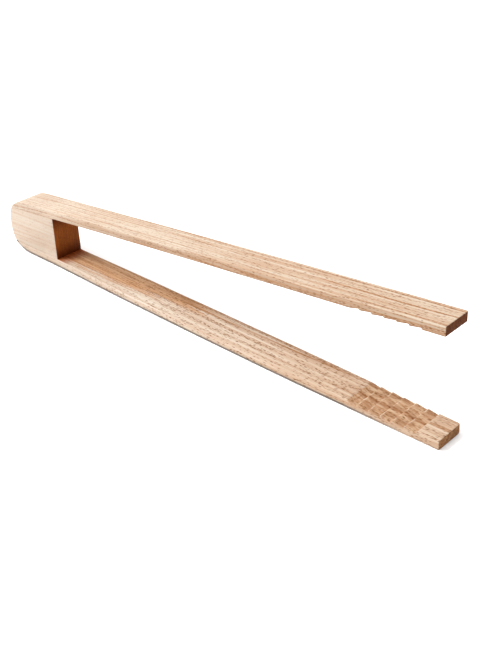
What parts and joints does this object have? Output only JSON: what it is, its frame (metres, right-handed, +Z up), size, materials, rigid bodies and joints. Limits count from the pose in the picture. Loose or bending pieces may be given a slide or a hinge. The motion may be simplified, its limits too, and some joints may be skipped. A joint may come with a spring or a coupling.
{
  "type": "print tongs",
  "caption": "Slim one-material wooden tongs: springy flat arms glued to a rounded wedge block at the head, with stepped gripping teeth cut across the inner faces before plain tips.",
  "frame": {"origin": "on the surface the tongs lie on, under the middle of their bounding box", "axes": "+X along the tongs from the head to the tips, +Y across their width, +Z up from the surface; the lower arm's outer face lies flat on Z = 0"},
  "size_m": [0.2938, 0.021, 0.0617],
  "materials": {
    "arm_oak": "bare, finely sanded pale oak with fine dark pores",
    "block_oak": "bare, finely sanded pale oak, a little pinker and smoother than the arms"
  },
  "bodies": {
    "head": {"spacer_block": "block_oak", "upper_arm_root": "arm_oak", "lower_arm_root": "arm_oak"},
    "upper_arm": {"upper_arm_blade": "arm_oak"},
    "lower_arm": {"lower_arm_blade": "arm_oak"}
  },
  "joints": [
    {"name": "upper_arm_flex", "type": "hinge", "parent": "head", "child": "upper_arm", "pos_m": [-0.10795, 0, 0.03215], "axis": [0, 1, 0], "range_deg": [0, 5.8], "stiffness_Nm_per_rad": 21.6},
    {"name": "lower_arm_flex", "type": "hinge", "parent": "head", "child": "lower_arm", "pos_m": [-0.10636, 0, 0.0025], "axis": [0, -1, 0], "range_deg": [0, 5.8], "stiffness_Nm_per_rad": 23.2}
  ]
}
